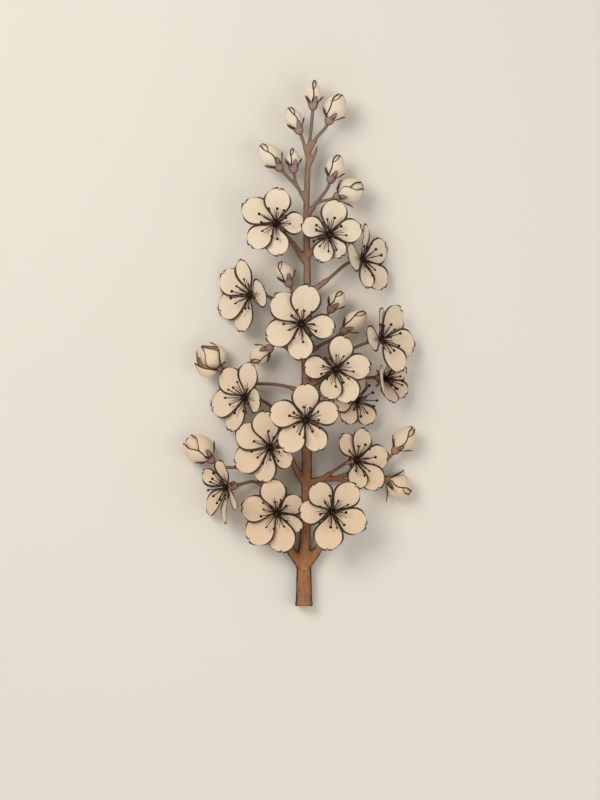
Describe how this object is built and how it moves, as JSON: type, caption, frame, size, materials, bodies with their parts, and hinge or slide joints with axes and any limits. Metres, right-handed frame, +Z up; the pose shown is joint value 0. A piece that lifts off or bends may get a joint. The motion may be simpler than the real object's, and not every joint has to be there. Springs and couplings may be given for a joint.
{
  "type": "cherry blossom sprig",
  "caption": "Cut cherry blossom sprig lying flat: a slender forked twig with open five-petalled flowers on fine stalks, tilted side flowers, and rounded buds to its tip.",
  "frame": {"origin": "middle of the sprig's outline on the table surface it lies on", "axes": "+Y runs along the twig from its cut end to the topmost bud, +Z points up from the table, the way the open flowers face, and +X is to the right"},
  "size_m": [0.1092, 0.2474, 0.0303],
  "materials": {
    "bark": "matte",
    "calyx": "satin",
    "petal": "satin",
    "bud": "satin",
    "stamen": "matte"
  },
  "bodies": {
    "root": {"twig": "bark", "flower_01_calyx": "calyx", "flower_01_petals": "petal", "flower_01_stamens": "stamen", "flower_02_calyx": "calyx", "flower_02_petals": "petal", "flower_02_stamens": "stamen", "flower_03_calyx": "calyx", "flower_03_petals": "petal", "flower_03_stamens": "stamen", "flower_04_calyx": "calyx", "flower_04_petals": "petal", "flower_04_stamens": "stamen", "flower_05_calyx": "calyx", "flower_05_petals": "petal", "flower_05_stamens": "stamen", "flower_06_calyx": "calyx", "flower_06_petals": "petal", "flower_06_stamens": "stamen", "flower_07_calyx": "calyx", "flower_07_petals": "petal", "flower_07_stamens": "stamen", "flower_08_calyx": "calyx", "flower_08_petals": "petal", "flower_08_stamens": "stamen", "flower_09_calyx": "calyx", "flower_09_petals": "petal", "flower_09_stamens": "stamen", "flower_10_calyx": "calyx", "flower_10_petals": "petal", "flower_10_stamens": "stamen", "flower_11_calyx": "calyx", "flower_11_petals": "petal", "flower_11_stamens": "stamen", "flower_12_calyx": "calyx", "flower_12_petals": "petal", "flower_12_stamens": "stamen", "flower_13_calyx": "calyx", "flower_13_petals": "petal", "flower_13_stamens": "stamen", "flower_14_calyx": "calyx", "flower_14_petals": "petal", "flower_14_stamens": "stamen", "flower_15_calyx": "calyx", "flower_15_petals": "petal", "flower_16_calyx": "calyx", "flower_16_petals": "petal", "bud_01": "bud", "bud_02": "bud", "bud_03": "bud", "buds_04_05": "bud", "buds_06_07": "bud", "bud_08": "bud", "bud_09": "bud", "bud_10": "bud", "bud_11": "bud", "bud_12": "bud", "bud_13": "bud", "bud_14": "bud", "bud_15": "bud"}
  },
  "joints": []
}
